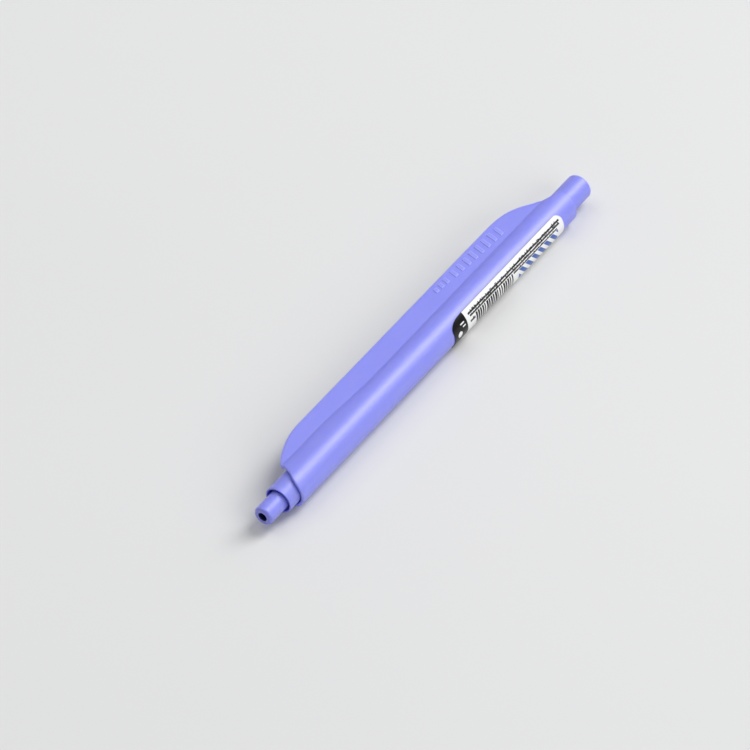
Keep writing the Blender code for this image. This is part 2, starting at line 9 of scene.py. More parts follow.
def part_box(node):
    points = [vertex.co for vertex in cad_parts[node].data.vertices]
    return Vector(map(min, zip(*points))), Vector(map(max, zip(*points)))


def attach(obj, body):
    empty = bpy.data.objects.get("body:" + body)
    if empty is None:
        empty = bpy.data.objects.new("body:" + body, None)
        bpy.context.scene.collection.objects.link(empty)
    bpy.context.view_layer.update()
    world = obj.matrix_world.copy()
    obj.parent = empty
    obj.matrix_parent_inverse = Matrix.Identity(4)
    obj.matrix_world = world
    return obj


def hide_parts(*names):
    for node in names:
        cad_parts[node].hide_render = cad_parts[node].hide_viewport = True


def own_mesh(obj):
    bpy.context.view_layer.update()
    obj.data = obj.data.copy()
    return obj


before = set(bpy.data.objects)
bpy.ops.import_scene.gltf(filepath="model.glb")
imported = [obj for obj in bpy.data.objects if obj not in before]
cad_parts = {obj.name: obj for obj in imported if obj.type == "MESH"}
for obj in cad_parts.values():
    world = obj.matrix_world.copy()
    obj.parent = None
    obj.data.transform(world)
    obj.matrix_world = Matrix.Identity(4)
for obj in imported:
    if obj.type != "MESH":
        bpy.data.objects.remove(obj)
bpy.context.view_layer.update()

# --------------------------------------------------------------------- lavender plastic
# The sleeve, barrel, nose and button are all injection moulded in the same lavender
# polypropylene. Its skin is satin, with a very fine grain from the mould, faint flow clouds
# and a few hair-thin rubs from handling.
mm = 0.001
MILLIMETRES = 1000.0


def node_group(name, inputs, outputs):
    """Starts a shader node group with named values going in and out."""
    group = bpy.data.node_groups.new(name, "ShaderNodeTree")
    for label, kind, value in inputs:
        socket = group.interface.new_socket(name=label, in_out="INPUT", socket_type=kind)
        socket.default_value = value
    for label, kind in outputs:
        group.interface.new_socket(name=label, in_out="OUTPUT", socket_type=kind)
    return group, group.nodes.new("NodeGroupInput"), group.nodes.new("NodeGroupOutput")


def calc(tree, operation, *values, clamp=False):
    """Adds one Math node; each value is a number or another node's output."""
    node = tree.nodes.new("ShaderNodeMath")
    node.operation = operation
    node.use_clamp = clamp
    for socket, value in zip(node.inputs, values):
        if isinstance(value, (int, float)):
            socket.default_value = value
        else:
            tree.links.new(value, socket)
    return node.outputs["Value"]


def blend_colours(tree, share, first, second):
    """Adds one colour Mix node; each value is a number, a colour or another node's output."""
    node = tree.nodes.new("ShaderNodeMix")
    node.data_type = "RGBA"
    for socket, value in ((node.inputs[0], share), (node.inputs[6], first), (node.inputs[7], second)):
        if isinstance(value, tuple):
            socket.default_value = (*value, 1.0)
        elif isinstance(value, (int, float)):
            socket.default_value = value
        else:
            tree.links.new(value, socket)
    return node.outputs[2]


def noise(tree, where, scale, detail=3.0, roughness=0.5):
    """Adds one Noise texture read at a position; scale is in waves to the metre."""
    node = tree.nodes.new("ShaderNodeTexNoise")
    node.inputs["Scale"].default_value = scale
    node.inputs["Detail"].default_value = detail
    node.inputs["Roughness"].default_value = roughness
    tree.links.new(where, node.inputs["Vector"])
    return node.outputs["Fac"]


def mould_skin_group():
    """Fine grain and soft clouds of a moulded surface."""
    group, put_in, put_out = node_group(
        "mould_skin",
        [("Position", "NodeSocketVector", (0, 0, 0)), ("Grain", "NodeSocketFloat", 1.0)],
        [(output, "NodeSocketFloat") for output in ("Clouds", "Gloss Shift", "Height")],
    )
    where = put_in.outputs["Position"]
    clouds = noise(group, where, scale=90.0, detail=2.0)
    patches = noise(group, where, scale=420.0, detail=3.0)
    grain = noise(group, where, scale=5200.0, detail=2.0, roughness=0.6)
    gloss_swing = 0.10
    gloss = calc(group, "MULTIPLY_ADD", patches, gloss_swing, -gloss_swing / 2)
    height = calc(group, "MULTIPLY", grain, put_in.outputs["Grain"])
    group.links.new(clouds, put_out.inputs["Clouds"])
    group.links.new(gloss, put_out.inputs["Gloss Shift"])
    group.links.new(height, put_out.inputs["Height"])
    return group


def hair_rubs_group():
    """Mask of hair-thin rubs that run mostly along the pen."""
    group, put_in, put_out = node_group(
        "hair_rubs",
        [("Position", "NodeSocketVector", (0, 0, 0)), ("Amount", "NodeSocketFloat", 0.3)],
        [("Mask", "NodeSocketFloat")],
    )
    drawn_out = (0.05, 1.0, 1.0)
    slight_turn = (0.0, 0.06, 0.1)
    mapping = group.nodes.new("ShaderNodeMapping")
    mapping.inputs["Scale"].default_value = drawn_out
    mapping.inputs["Rotation"].default_value = slight_turn
    group.links.new(put_in.outputs["Position"], mapping.inputs["Vector"])
    streaks = noise(group, mapping.outputs["Vector"], scale=7000.0, detail=1.0)
    from_middle = calc(group, "ABSOLUTE", calc(group, "SUBTRACT", streaks, 0.5))
    line_sharpness, line_level = 60.0, 0.8
    lines = calc(
        group, "MULTIPLY_ADD", calc(group, "SUBTRACT", 1.0, from_middle),
        line_sharpness, line_level - line_sharpness, clamp=True,
    )
    lines = calc(group, "SMOOTH_MAX", lines, 0.0, 0.01)
    places = noise(group, put_in.outputs["Position"], scale=160.0, detail=2.0)
    place_contrast, place_level = 4.0, -2.2
    shown = calc(group, "MULTIPLY_ADD", places, place_contrast, place_level, clamp=True)
    mask = calc(group, "MULTIPLY", calc(group, "MULTIPLY", lines, shown), put_in.outputs["Amount"])
    group.links.new(mask, put_out.inputs["Mask"])
    return group


mould_skin = mould_skin_group()
hair_rubs = hair_rubs_group()


def moulded_plastic(name, colour, cloud_colour, roughness, grain_depth, rubs, glow=0.0):
    """A moulded plastic: its colour drifts towards cloud_colour, and rubs dull it a little.

    Glow is how much light spreads inside it. A mesh's rim attribute paints a highlight on its thin edges:
    they take a paler colour, as if they caught the light.
    """
    material = bpy.data.materials.new(name)
    material.use_nodes = True
    tree = material.node_tree
    shader = tree.nodes["Principled BSDF"]
    place = tree.nodes.new("ShaderNodeTexCoord").outputs["Object"]
    skin = tree.nodes.new("ShaderNodeGroup")
    skin.node_tree = mould_skin
    tree.links.new(place, skin.inputs["Position"])
    wear = tree.nodes.new("ShaderNodeGroup")
    wear.node_tree = hair_rubs
    wear.inputs["Amount"].default_value = rubs
    tree.links.new(place, wear.inputs["Position"])
    base = blend_colours(tree, skin.outputs["Clouds"], colour, cloud_colour)
    # The paler colour serves two marks: a painted highlight on thin edges, and real rubs from handling.
    pale_gain, pale_lift = 1.32, 0.03
    paler = tuple(min(1.0, channel * pale_gain + pale_lift) for channel in colour)
    # Painted highlight: where the rim attribute is 1, the colour turns paler.
    rim = tree.nodes.new("ShaderNodeAttribute")
    rim.attribute_name = "rim"
    with_edge_highlights = blend_colours(tree, rim.outputs["Fac"], base, paler)
    with_rubs = blend_colours(tree, wear.outputs["Mask"], with_edge_highlights, paler)
    tree.links.new(with_rubs, shader.inputs["Base Color"])
    rub_dullness = 0.15
    dulled = calc(tree, "MULTIPLY_ADD", wear.outputs["Mask"], rub_dullness, roughness)
    tree.links.new(calc(tree, "ADD", dulled, skin.outputs["Gloss Shift"]), shader.inputs["Roughness"])
    bump = tree.nodes.new("ShaderNodeBump")
    bump.inputs["Strength"].default_value = 0.35
    bump.inputs["Distance"].default_value = grain_depth
    tree.links.new(skin.outputs["Height"], bump.inputs["Height"])
    tree.links.new(bump.outputs["Normal"], shader.inputs["Normal"])
    shader.inputs["IOR"].default_value = 1.55
    shader.inputs["Specular IOR Level"].default_value = 0.7
    shader.inputs["Subsurface Weight"].default_value = glow
    shader.inputs["Subsurface Radius"].default_value = (0.12, 0.15, 0.6)
    shader.inputs["Subsurface Scale"].default_value = 1.0 * mm
    return material


lavender = moulded_plastic(
    "lavender_plastic", colour=(0.246, 0.262, 0.80), cloud_colour=(0.266, 0.284, 0.84),
    roughness=0.42, grain_depth=0.006 * mm, rubs=0.25, glow=0.6,
)

# ------------------------------------------------------------------ sleeve and wing clip
# The sleeve is one thin moulding: a tube that is open along the side below the wing, and the
# wing itself, a flat springy blade that leaves the tube near its top and ends in a large
# rounded corner at the front and a long sweep at the rear. The barrel is pushed into it.
sleeve_low, sleeve_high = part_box("outer_sleeve")
barrel_low, barrel_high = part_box("inner_barrel")
nose_low, nose_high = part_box("nose_tip")
axis_y = (barrel_low[1] + barrel_high[1]) / 2
axis_z = (barrel_low[2] + barrel_high[2]) / 2
nose_x = nose_low[0]
sleeve_radius = axis_z - sleeve_low[2]
sleeve_wall = 0.85 * mm
wing_reach = sleeve_high[1] - axis_y
wing_height = 4.0 * mm
wing_thickness = 1.2 * mm
wing_corner = 14.1 * mm
wing_corner_power = 0.68
wing_taper = 25.0 * mm
wing_end_reach = 1.2 * mm
wing_sweep_power = 1.8
wing_root_blend = 1.5 * mm
rim_lean = 3.1 * mm
rim_lean_power = 7
fairing_reach = 1.1 * mm
fairing_x = nose_x + 30 * mm, nose_x + 52 * mm
lip_angle = math.radians(-40)
crease_angle = math.asin(wing_height / sleeve_radius)
crease_reach = sleeve_radius * math.cos(crease_angle)
edge_round = 0.28 * mm
wing_edge_round = 0.48 * mm


def deselect_everything():
    """Leaves edit mode and selects nothing, ready for the next operator."""
    if bpy.context.mode != "OBJECT":
        bpy.ops.object.mode_set(mode="OBJECT")
    bpy.ops.object.select_all(action="DESELECT")


def finish_piece(piece, name, body, material, smooth_angle=35):
    """Names a finished piece, settles its place in its mesh and fixes it to its body."""
    deselect_everything()
    piece.select_set(True)
    bpy.context.view_layer.objects.active = piece
    bpy.ops.object.transform_apply(location=True, rotation=True, scale=True)
    bpy.ops.object.shade_smooth_by_angle(angle=math.radians(smooth_angle))
    piece.name = name
    piece.data.name = name
    piece.data.materials.clear()
    piece.data.materials.append(material)
    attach(piece, body)
    return piece


def apply_modifier(piece, name, kind, **settings):
    """Adds one modifier and applies it."""
    modifier = piece.modifiers.new(name, kind)
    for setting, value in settings.items():
        setattr(modifier, setting, value)
    deselect_everything()
    piece.select_set(True)
    bpy.context.view_layer.objects.active = piece
    bpy.ops.object.modifier_apply(modifier=name)


def ease(value):
    """0 below 0, 1 above 1, and smooth between."""
    value = min(max(value, 0.0), 1.0)
    return value * value * (3 - 2 * value)


def front_of_rim(angle):
    """The front rim falls back from the bottom of the sleeve towards the wing."""
    towards_wing = (1 + math.cos(angle - crease_angle)) / 2
    return sleeve_low[0] + rim_lean * towards_wing**rim_lean_power


def rear_of_wing(reach):
    """Where the wing's rear sweep passes a given distance from the pen's axis."""
    drop = (wing_reach - reach) / (wing_reach - wing_end_reach)
    turn = math.acos(1 - 2 * min(max(drop, 0.0), 1.0)) / math.pi
    return sleeve_high[0] - wing_taper * (1 - turn ** (1 / wing_sweep_power))


def fairing(x):
    """How much further out the wing's root lies near the front."""
    return fairing_reach * ease((fairing_x[1] - x) / (fairing_x[1] - fairing_x[0]))


def point_on_tube(share, along):
    """A point of the sleeve's round wall; share runs from the lip under the pen up to the wing."""
    angle = lip_angle + (crease_angle - math.tau - lip_angle) * share
    from_top = -1.5 * math.pi - angle
    swell = ease(from_top / (math.pi / 2 - crease_angle)) if from_top > 0 else 0.0
    reach = sleeve_radius * math.cos(angle)
    rear = sleeve_high[0]
    if from_top > 0 and reach > wing_end_reach:
        rear = rear_of_wing(reach)
    front = front_of_rim(angle)
    x = front + (rear - front) * along
    return Vector((x, axis_y + reach + swell * fairing(x), axis_z + sleeve_radius * math.sin(angle)))


def point_on_wing(share, along):
    """A point of the wing's upper face; share runs from the root out to the edge."""
    turn = math.pi / 2 * share
    span = wing_reach - crease_reach
    reach = crease_reach + span * math.sin(turn)
    front = front_of_rim(crease_angle) + wing_corner * (1 - math.cos(turn)) ** wing_corner_power
    x = front + (rear_of_wing(reach) - front) * along
    return Vector((x, axis_y + reach + fairing(x) * (wing_reach - reach) / span, axis_z + wing_height))


# The skin of the moulding is drawn first as one sheet, with rows and columns close together at
# its rims, and closest at the lip. The columns run from the lip round to the wing's edge.
rim_steps = [0.0, 0.02 * mm, 0.08 * mm, 0.17 * mm, 0.29 * mm, 0.48 * mm]
rim_rows = len(rim_steps) - 1
middle_rows = 88
rows = middle_rows + 2 * rim_rows
columns_round = 92
columns_across = 24
lip_scale = sleeve_radius * (crease_angle - lip_angle + math.tau)
wing_span = wing_reach - crease_reach
last_turn = math.asin(1 - rim_steps[-1] / wing_span) / (math.pi / 2)
around = [step / lip_scale for step in rim_steps]
around += [around[-1] + (1 - around[-1]) * step / columns_round for step in range(1, columns_round + 1)]
around += [1 + last_turn * step / columns_across for step in range(1, columns_across + 1)]
around += [1 + math.asin(1 - step / wing_span) / (math.pi / 2) for step in reversed(rim_steps[:-1])]
columns = len(around) - 1
deselect_everything()
bpy.ops.mesh.primitive_grid_add(x_subdivisions=rows, y_subdivisions=columns, size=2.0, location=(0, 0, 0))
sleeve = bpy.context.object
for vertex in sleeve.data.vertices:
    share = around[round((vertex.co.y + 1) / 2 * columns)]
    step = round((vertex.co.x + 1) / 2 * rows)
    point_at = point_on_tube if share <= 1 else point_on_wing
    share = share if share <= 1 else share - 1
    length = point_at(share, 1.0).x - point_at(share, 0.0).x
    if step <= rim_rows:
        along = rim_steps[step] / length
    elif step >= rows - rim_rows:
        along = 1 - rim_steps[rows - step] / length
    else:
        middle_length = length - 2 * rim_steps[-1]
        along = (rim_steps[-1] + middle_length * (step - rim_rows) / middle_rows) / length
    vertex.co = point_at(share, along)

# Each point then moves half a wall inwards, and the wall thins to a rounded edge at the rims.
rim_point_gap = 0.03 * mm
edge_points = []
mesh = bmesh.new()
mesh.from_mesh(sleeve.data)
for edge in mesh.edges:
    if edge.is_boundary:
        first, second = (vertex.co for vertex in edge.verts)
        parts = max(1, round((second - first).length / rim_point_gap))
        edge_points += [first.lerp(second, part / parts) for part in range(parts)]
mesh.free()
rims = KDTree(len(edge_points))
for index, point in enumerate(edge_points):
    rims.insert(point, index)
rims.balance()
wall = sleeve.vertex_groups.new(name="wall")
# Each point's rim value paints a highlight: it rises to 1 at the rims, so the edges are drawn paler, as if
# catching light.
edge_highlight_share = []
normals = [vertex.normal.copy() for vertex in sleeve.data.vertices]
for vertex, normal in zip(sleeve.data.vertices, normals):
    past_crease = vertex.co.y - axis_y - crease_reach
    on_wing = ease(past_crease / wing_root_blend) if vertex.co.z > axis_z else 0.0
    thickness = sleeve_wall + (wing_thickness - sleeve_wall) * on_wing
    corner = edge_round + (wing_edge_round - edge_round) * on_wing
    from_rim = min(rims.find(vertex.co)[2] / corner, 1.0)
    edge_highlight_share.append(1.0 - from_rim)
    rounded = 2 * corner * (1 - math.sqrt(1 - (1 - from_rim) ** 2))
    wall.add([vertex.index], (thickness - rounded) / wing_thickness, "REPLACE")
    vertex.co -= normal * thickness / 2
sleeve.data.attributes.new("rim", "FLOAT", "POINT").data.foreach_set("value", edge_highlight_share)
apply_modifier(
    sleeve, "wall", "SOLIDIFY", thickness=wing_thickness, offset=0.0, use_rim=True, vertex_group="wall"
)
finish_piece(sleeve, "sleeve_and_wing", "barrel", lavender, smooth_angle=32)
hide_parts("outer_sleeve")

# ------------------------------------------------------------------ raised bars on the wing
# A row of low moulded bars stands on the wing near the button, where the thumb pushes it over
# a pocket. They grow longer towards the button and belong to the same moulding.
bar_width = 1.3 * mm
bar_height = 0.17 * mm
bar_round = 0.15 * mm
bar_rim_width = 0.16 * mm
bar_slant = 0.18
first_length = 1.0 * mm
bar_places = [
    # distance from the nose face, distance from the axis, length across the wing
    (87.2, 7.1, 1.5), (89.4, 7.05, 1.7), (91.6, 7.0, 1.9), (95.0, 6.85, 2.4), (97.8, 6.75, 2.6),
    (100.6, 6.6, 2.8), (103.4, 6.5, 3.0), (106.2, 6.4, 3.1), (109.0, 6.3, 3.2), (111.8, 6.2, 3.2),
    (114.6, 6.05, 3.0),
]
deselect_everything()
bpy.ops.mesh.primitive_cube_add(size=1.0, location=(0, 0, 0))
bar = bpy.context.object
bar.scale = (bar_width, first_length, 2 * bar_height)
bpy.ops.object.transform_apply(location=True, rotation=True, scale=True)
bpy.ops.object.mode_set(mode="EDIT")
bpy.ops.mesh.select_all(action="SELECT")
bpy.ops.mesh.bevel(offset=bar_round, segments=4, affect="EDGES")
bpy.ops.mesh.select_mode(type="FACE")
bpy.ops.mesh.select_all(action="DESELECT")
bpy.ops.object.mode_set(mode="OBJECT")
straight_up = 0.9999
for face in bar.data.polygons:
    face.select = face.normal.z > straight_up
bpy.ops.object.mode_set(mode="EDIT")
bpy.ops.mesh.inset(thickness=bar_rim_width)
bpy.ops.object.mode_set(mode="OBJECT")

# The bars' rims are paler, a painted highlight standing in for light caught on their edges, and the bars are
# too thin for light to spread inside them.
inner_corners = {corner for face in bar.data.polygons if face.select for corner in face.vertices}
edge_highlight_strength = 0.8
bar_edge_highlight = [0.0 if vertex.index in inner_corners else edge_highlight_strength for vertex in bar.data.vertices]
bar.data.attributes.new("rim", "FLOAT", "POINT").data.foreach_set("value", bar_edge_highlight)
raised_lavender = lavender.copy()
raised_lavender.name = "lavender_plastic_raised"
raised_lavender.node_tree.nodes["Principled BSDF"].inputs["Subsurface Weight"].default_value = 0.0
for number, (x, reach, length) in enumerate(bar_places, 1):
    raised = bar.copy()
    raised.data = bar.data.copy()
    bpy.context.collection.objects.link(raised)
    for vertex in raised.data.vertices:
        vertex.co.y += math.copysign((length * mm - first_length) / 2, vertex.co.y)
        vertex.co.x += bar_slant * vertex.co.y
        vertex.co += Vector((nose_x + x * mm, axis_y + reach * mm, axis_z + wing_height))
    finish_piece(raised, f"wing_bar_{number}", "barrel", raised_lavender)
bpy.data.objects.remove(bar)

# -------------------------------------------------------------------------- inner barrel
# The barrel is a plain moulded tube pushed up inside the sleeve. It shows only through the
# sleeve's open side, under the wing, and through the gap behind the nose.
barrel_radius = barrel_high[2] - axis_z
barrel_bore = 3.4 * mm
barrel_edge = 0.15    # in millimetres, as outlines are
turning_steps = 96


def arc(middle_x, middle_r, radius, start, end, steps=5):
    """Points of a rounded edge: (x, r) pairs on an arc, angles in degrees from +x towards +r."""
    turns = [math.radians(start + (end - start) * step / steps) for step in range(steps + 1)]
    return [(middle_x + radius * math.cos(turn), middle_r + radius * math.sin(turn)) for turn in turns]


def turn_profile(profile, steps=turning_steps):
    """Turns a closed outline of (x, r) pairs round the pen's axis, x in scene coordinates."""
    deselect_everything()
    x, radius = profile[0]
    bpy.ops.mesh.primitive_circle_add(
        vertices=steps, radius=radius, location=(x, axis_y, axis_z), rotation=(0, math.pi / 2, 0)
    )
    turned = bpy.context.object
    bpy.ops.object.transform_apply(location=True, rotation=True, scale=True)
    bpy.ops.object.mode_set(mode="EDIT")
    bpy.ops.mesh.select_all(action="SELECT")
    for next_x, next_radius in profile[1:]:
        bpy.ops.mesh.extrude_edges_move(
            MESH_OT_extrude_edges_indiv={}, TRANSFORM_OT_translate={"value": (next_x - x, 0, 0)}
        )
        grow = next_radius / radius
        bpy.ops.transform.resize(value=(1, grow, grow), center_override=(next_x, axis_y, axis_z))
        x, radius = next_x, next_radius
    bpy.ops.mesh.select_all(action="SELECT")
    bpy.ops.mesh.remove_doubles(threshold=0.0001 * mm)
    bpy.ops.mesh.normals_make_consistent(inside=False)
    bpy.ops.object.mode_set(mode="OBJECT")
    return turned


def at(x, radius):
    """A point of an outline, in millimetres from the nose face and from the axis."""
    return nose_x + x * mm, radius * mm


def rounded_at(x, radius, size, start, end, steps=5):
    """A rounded corner of an outline, with its middle in millimetres."""
    return [at(*point) for point in arc(x, radius, size, start, end, steps)]


barrel_back = (barrel_high[0] - nose_x) * MILLIMETRES
barrel_front = (barrel_low[0] - nose_x) * MILLIMETRES
outer = barrel_radius * MILLIMETRES - barrel_edge
bore = barrel_bore * MILLIMETRES + barrel_edge
barrel_length = barrel_back - barrel_front
outline = rounded_at(barrel_back - barrel_edge, outer, barrel_edge, 90, 0)
outline += rounded_at(barrel_back - barrel_edge, bore, barrel_edge, 0, -90)
outline += rounded_at(barrel_front + barrel_edge, bore, barrel_edge, -90, -180)
outline += rounded_at(barrel_front + barrel_edge, outer, barrel_edge, 180, 90)
outline += [at(barrel_front + barrel_length * step / 5, outer + barrel_edge) for step in range(1, 5)]
outline.append(outline[0])
barrel = turn_profile(outline)
finish_piece(barrel, "barrel_tube", "barrel", lavender)
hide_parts("inner_barrel")

# ------------------------------------------------------------------------------ nose tip
# The nose is a short stepped moulding: a slim front with a rounded end and the hole for the
# writing point, and behind it a wider collar that sits in the barrel's mouth.

# Its sizes are in millimetres, and places along it are measured from its face.
tip_radius = 2.7
tip_round = 0.75
hole_radius = 1.2
hole_round = 0.25
collar_radius = 3.2
collar_front = 10.2
collar_edge = 0.15
spring_bore = 2.25
spring_seat = 6.4
nose_back = (nose_high[0] - nose_x) * MILLIMETRES
outline = rounded_at(tip_round, tip_radius - tip_round, tip_round, 180, 90, 8)
outline += [at(4.0, tip_radius), at(8.0, tip_radius)]
outline += rounded_at(collar_front - collar_edge, tip_radius + collar_edge, collar_edge, 270, 360, 3)
outline += rounded_at(collar_front + collar_edge, collar_radius - collar_edge, collar_edge, 180, 90, 4)
outline += [at(14.0, collar_radius)]
outline += rounded_at(nose_back - collar_edge, collar_radius - collar_edge, collar_edge, 90, 0, 4)
outline += [at(nose_back, spring_bore), at(12.0, spring_bore), at(spring_seat, spring_bore)]
outline += [at(spring_seat, hole_radius), at(3.0, hole_radius)]
outline += rounded_at(hole_round, hole_radius + hole_round, hole_round, 270, 180, 5)
outline.append(outline[0])
nose = turn_profile(outline)


def nose_with_hole_shade():
    """The lavender plastic, with painted shade inside the point's hole: a dark blue that stands in for the
    shade deep in the hole.
    """
    material = lavender.copy()
    material.name = "lavender_plastic_hole_shade"
    tree = material.node_tree
    shader = tree.nodes["Principled BSDF"]
    plain = shader.inputs["Base Color"].links[0].from_socket
    place = tree.nodes.new("ShaderNodeTexCoord").outputs["Object"]
    split = tree.nodes.new("ShaderNodeSeparateXYZ")
    tree.links.new(place, split.inputs["Vector"])
    side = calc(tree, "SUBTRACT", split.outputs["Y"], axis_y)
    rise = calc(tree, "SUBTRACT", split.outputs["Z"], axis_z)
    square = calc(tree, "ADD", calc(tree, "MULTIPLY", side, side), calc(tree, "MULTIPLY", rise, rise))
    from_axis = calc(tree, "MULTIPLY", calc(tree, "SQRT", square), MILLIMETRES)
    # Painted shade: within about the hole's radius of the axis, the colour turns dark blue.
    hole_shade_radius, hole_shade_unevenness, hole_shade_sharpness = 1.22, 0.3, 9.0
    edge = calc(tree, "MULTIPLY_ADD", noise(tree, place, scale=1500.0), hole_shade_unevenness, hole_shade_radius)
    hole_shade = calc(tree, "MULTIPLY", calc(tree, "SUBTRACT", edge, from_axis), hole_shade_sharpness, clamp=True)
    hole_shade_colour = (0.010, 0.010, 0.13)
    with_hole_shade = blend_colours(tree, hole_shade, plain, hole_shade_colour)
    tree.links.new(with_hole_shade, shader.inputs["Base Color"])
    return material


finish_piece(nose, "nose_tip_shell", "barrel", nose_with_hole_shade())
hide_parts("nose_tip")

# --------------------------------------------------------------------------- push button
# The button is a thin cap with a softly domed end and a rounded shoulder. It slides inside the
# rear of the sleeve and pushes the cam.
button_low, button_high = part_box("push_button")
button_end = (button_high[0] - nose_x) * MILLIMETRES
button_front = (button_low[0] - nose_x) * MILLIMETRES
button_radius = (button_high[2] - axis_z) * MILLIMETRES
button_edge = 0.15
shoulder = 0.95
button_wall = 0.6
crown_wall = 1.2
crown_rise = 0.05
pole_radius = 0.02
outline = rounded_at(button_front + button_edge, button_radius - button_edge, button_edge, 180, 90, 4)
outline += [at(button_end - 6.0, button_radius), at(button_end - 3.0, button_radius)]
outline += rounded_at(button_end - shoulder - 0.1, button_radius - shoulder, shoulder, 90, 8, 9)
outline += [at(button_end - crown_rise, 2.0), at(button_end, 1.2), at(button_end, pole_radius)]
outline += [at(button_end - crown_wall, pole_radius)]
outline += [at(x, button_radius - button_wall) for x in (button_end - crown_wall, button_front)]
outline.append(outline[0])
button = turn_profile(outline)

# The crown and its underside each close in one point on the axis.
for vertex in button.data.vertices:
    vertex.select = math.hypot(vertex.co.y - axis_y, vertex.co.z - axis_z) < 1.5 * pole_radius * mm
bpy.ops.object.mode_set(mode="EDIT")
bpy.ops.mesh.remove_doubles(threshold=2.5 * pole_radius * mm)
bpy.ops.mesh.select_all(action="SELECT")
bpy.ops.mesh.delete_loose(use_verts=True, use_edges=True, use_faces=False)
bpy.ops.object.mode_set(mode="OBJECT")
finish_piece(button, "button_cap", "button", lavender)
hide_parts("push_button")

# --------------------------------------------------------------------------------- label
# A printed sticker of white film is wrapped round the side of the sleeve. A plain pattern of
# dark rows, fine bars and slanted blue bars stands where such a label carries its print. Its
# front corners are drawn out along the pen.
label_low, label_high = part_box("label")
label_skin = 0.12 * mm
label_radius = axis_y - label_low[1]
label_front = label_low[0]
label_length = label_high[0] - label_low[0]
label_angles = math.radians(121.5), math.radians(250)
label_width = label_radius * (label_angles[1] - label_angles[0])
label_corner = 2.6 * mm
front_corner_draw = 2.1
deselect_everything()
bpy.ops.mesh.primitive_grid_add(x_subdivisions=72, y_subdivisions=48, size=2.0, location=(0, 0, 0))
label = bpy.context.object
print_map = label.data.uv_layers[0]
print_map.name = "print_in_mm"
spots = []
for vertex in label.data.vertices:
    across = (vertex.co.y + 1) / 2 * label_width
    from_end = min(across, label_width - across)
    inset = 0.0
    if from_end < label_corner:
        inset = label_corner - math.sqrt(label_corner**2 - (label_corner - from_end) ** 2)
    ends = front_corner_draw * inset, label_length - inset
    along = ends[0] + (vertex.co.x + 1) / 2 * (ends[1] - ends[0])
    spots.append((along, across))
    angle = label_angles[0] + across / label_radius
    reach, rise = label_radius * math.cos(angle), label_radius * math.sin(angle)
    vertex.co = (label_front + along, axis_y + reach, axis_z + rise)
for loop in label.data.loops:
    along, across = spots[loop.vertex_index]
    print_map.data[loop.index].uv = (along * MILLIMETRES, across * MILLIMETRES)
deselect_everything()
label.select_set(True)
bpy.context.view_layer.objects.active = label
bpy.ops.object.mode_set(mode="EDIT")
bpy.ops.mesh.select_all(action="SELECT")
bpy.ops.mesh.flip_normals()
bpy.ops.object.mode_set(mode="OBJECT")
apply_modifier(label, "film", "SOLIDIFY", thickness=label_skin, offset=-1.0, use_rim=True)


def between(tree, value, low, high, soft):
    """Mask that is 1 while a value lies between low and high, with soft ends."""
    rise = calc(tree, "MULTIPLY_ADD", value, 1 / soft, -low / soft + 0.5, clamp=True)
    fall = calc(tree, "MULTIPLY_ADD", value, -1 / soft, high / soft + 0.5, clamp=True)
    return calc(tree, "MULTIPLY", rise, fall)


def chance(tree, value, row, seed):
    """A random number that stays the same within each whole step of a value."""
    node = tree.nodes.new("ShaderNodeTexWhiteNoise")
    node.noise_dimensions = "2D"
    join = tree.nodes.new("ShaderNodeCombineXYZ")
    tree.links.new(calc(tree, "FLOOR", value), join.inputs["X"])
    join.inputs["Y"].default_value = row + 0.37 * seed
    tree.links.new(join.outputs["Vector"], node.inputs["Vector"])
    return node.outputs["Value"]


